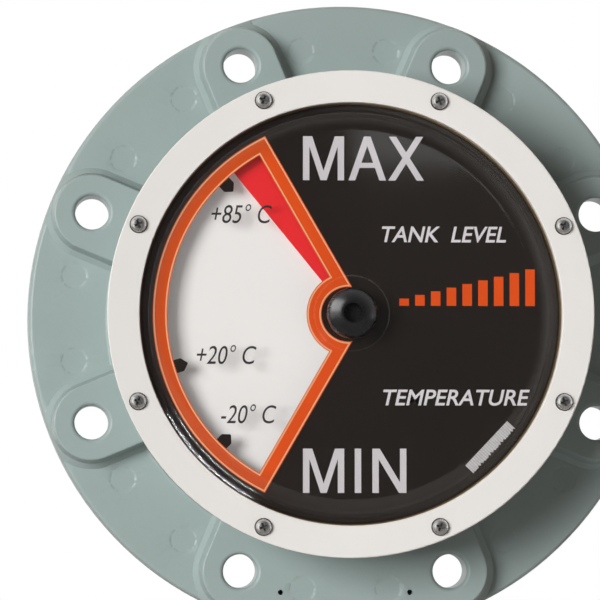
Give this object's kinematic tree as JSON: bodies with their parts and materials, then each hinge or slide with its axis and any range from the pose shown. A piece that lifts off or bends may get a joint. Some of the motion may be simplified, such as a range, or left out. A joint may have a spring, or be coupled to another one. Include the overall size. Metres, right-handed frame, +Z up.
{
  "type": "tank level gauge",
  "caption": "Magnetic tank level gauge with a round flange, a white bezel, a black dial with a slanted window, a red pointer and a rear hub for a float arm.",
  "frame": {"origin": "centre of the flange's mounting face, on the dial axis", "axes": "dial faces -Y, +Z up, +X to the reader's right; the spigot and drive shaft point along +Y into the tank"},
  "size_m": [0.29, 0.1412, 0.29],
  "materials": {
    "bezel_paint": "stoved warm white enamel",
    "black_moulding": "black moulding, glossy",
    "black_print": "black screen print, satin",
    "body_paint": "cast, painted grey-green, semi-gloss",
    "brass": "turned brass",
    "bridge_alloy": "bare casting, machined",
    "bush_bronze": "bronze bush, turned",
    "clear_moulding": "clear moulded cover, polished",
    "clear_sheet": "clear sheet, polished",
    "dial_white": "white enamelled sheet, satin",
    "gasket_black": "black rubber sheet",
    "gasket_cork": "tan cork-rubber sheet, matt",
    "housing_alloy": "turned aluminium",
    "hub_steel": "turned and zinc plated steel",
    "magnet_dark": "sintered magnet, dark",
    "orange_print": "orange screen print with pale pinstripes, satin",
    "pointer_red": "red enamelled sheet, satin",
    "screw_steel": "bright stainless steel",
    "shaft_steel": "ground steel",
    "spacer_black": "black moulded ring, matt"
  },
  "bodies": {
    "housing": {"flange_body": "body_paint", "bezel_ring": "bezel_paint", "bezel_screws": "screw_steel", "bezel_gasket": "gasket_cork", "cover_gasket": "gasket_cork", "clear_cover": "clear_moulding", "cover_plug": "black_moulding", "plug_nut": "brass", "dial_plate": "clear_sheet", "dial_mask": "black_print", "window_border": "orange_print", "dial_spacer": "spacer_black", "back_plate": "dial_white", "bearing_bridge": "bridge_alloy", "bridge_screws": "screw_steel", "pointer_bush": "bush_bronze", "bearing_housing": "housing_alloy", "housing_gasket": "gasket_black", "housing_screws": "screw_steel", "inner_bush": "bush_bronze", "outer_bush": "bush_bronze"},
    "pointer": {"pointer_vane": "pointer_red", "pointer_weight": "brass", "pointer_hub": "brass", "pointer_spindle": "shaft_steel", "pointer_circlip": "shaft_steel", "follower_cup": "brass", "follower_magnet": "magnet_dark"},
    "drive": {"drive_shaft": "shaft_steel", "drive_circlip": "shaft_steel", "drive_cup": "brass", "drive_magnet": "magnet_dark", "arm_hub": "hub_steel", "hub_screws": "screw_steel", "stop_pin": "shaft_steel"}
  },
  "joints": [
    {"name": "drive_turn", "type": "hinge", "parent": "housing", "child": "drive", "pos_m": [0, 0.03, 0], "axis": [0, -1, 0], "range_deg": [0, 120]},
    {"name": "pointer_turn", "type": "hinge", "parent": "housing", "child": "pointer", "pos_m": [0, -0.03, 0], "axis": [0, -1, 0], "range_deg": [0, 120]}
  ],
  "couplings": [
    {"joint": "pointer_turn", "follows": "drive_turn", "ratio": 1}
  ]
}
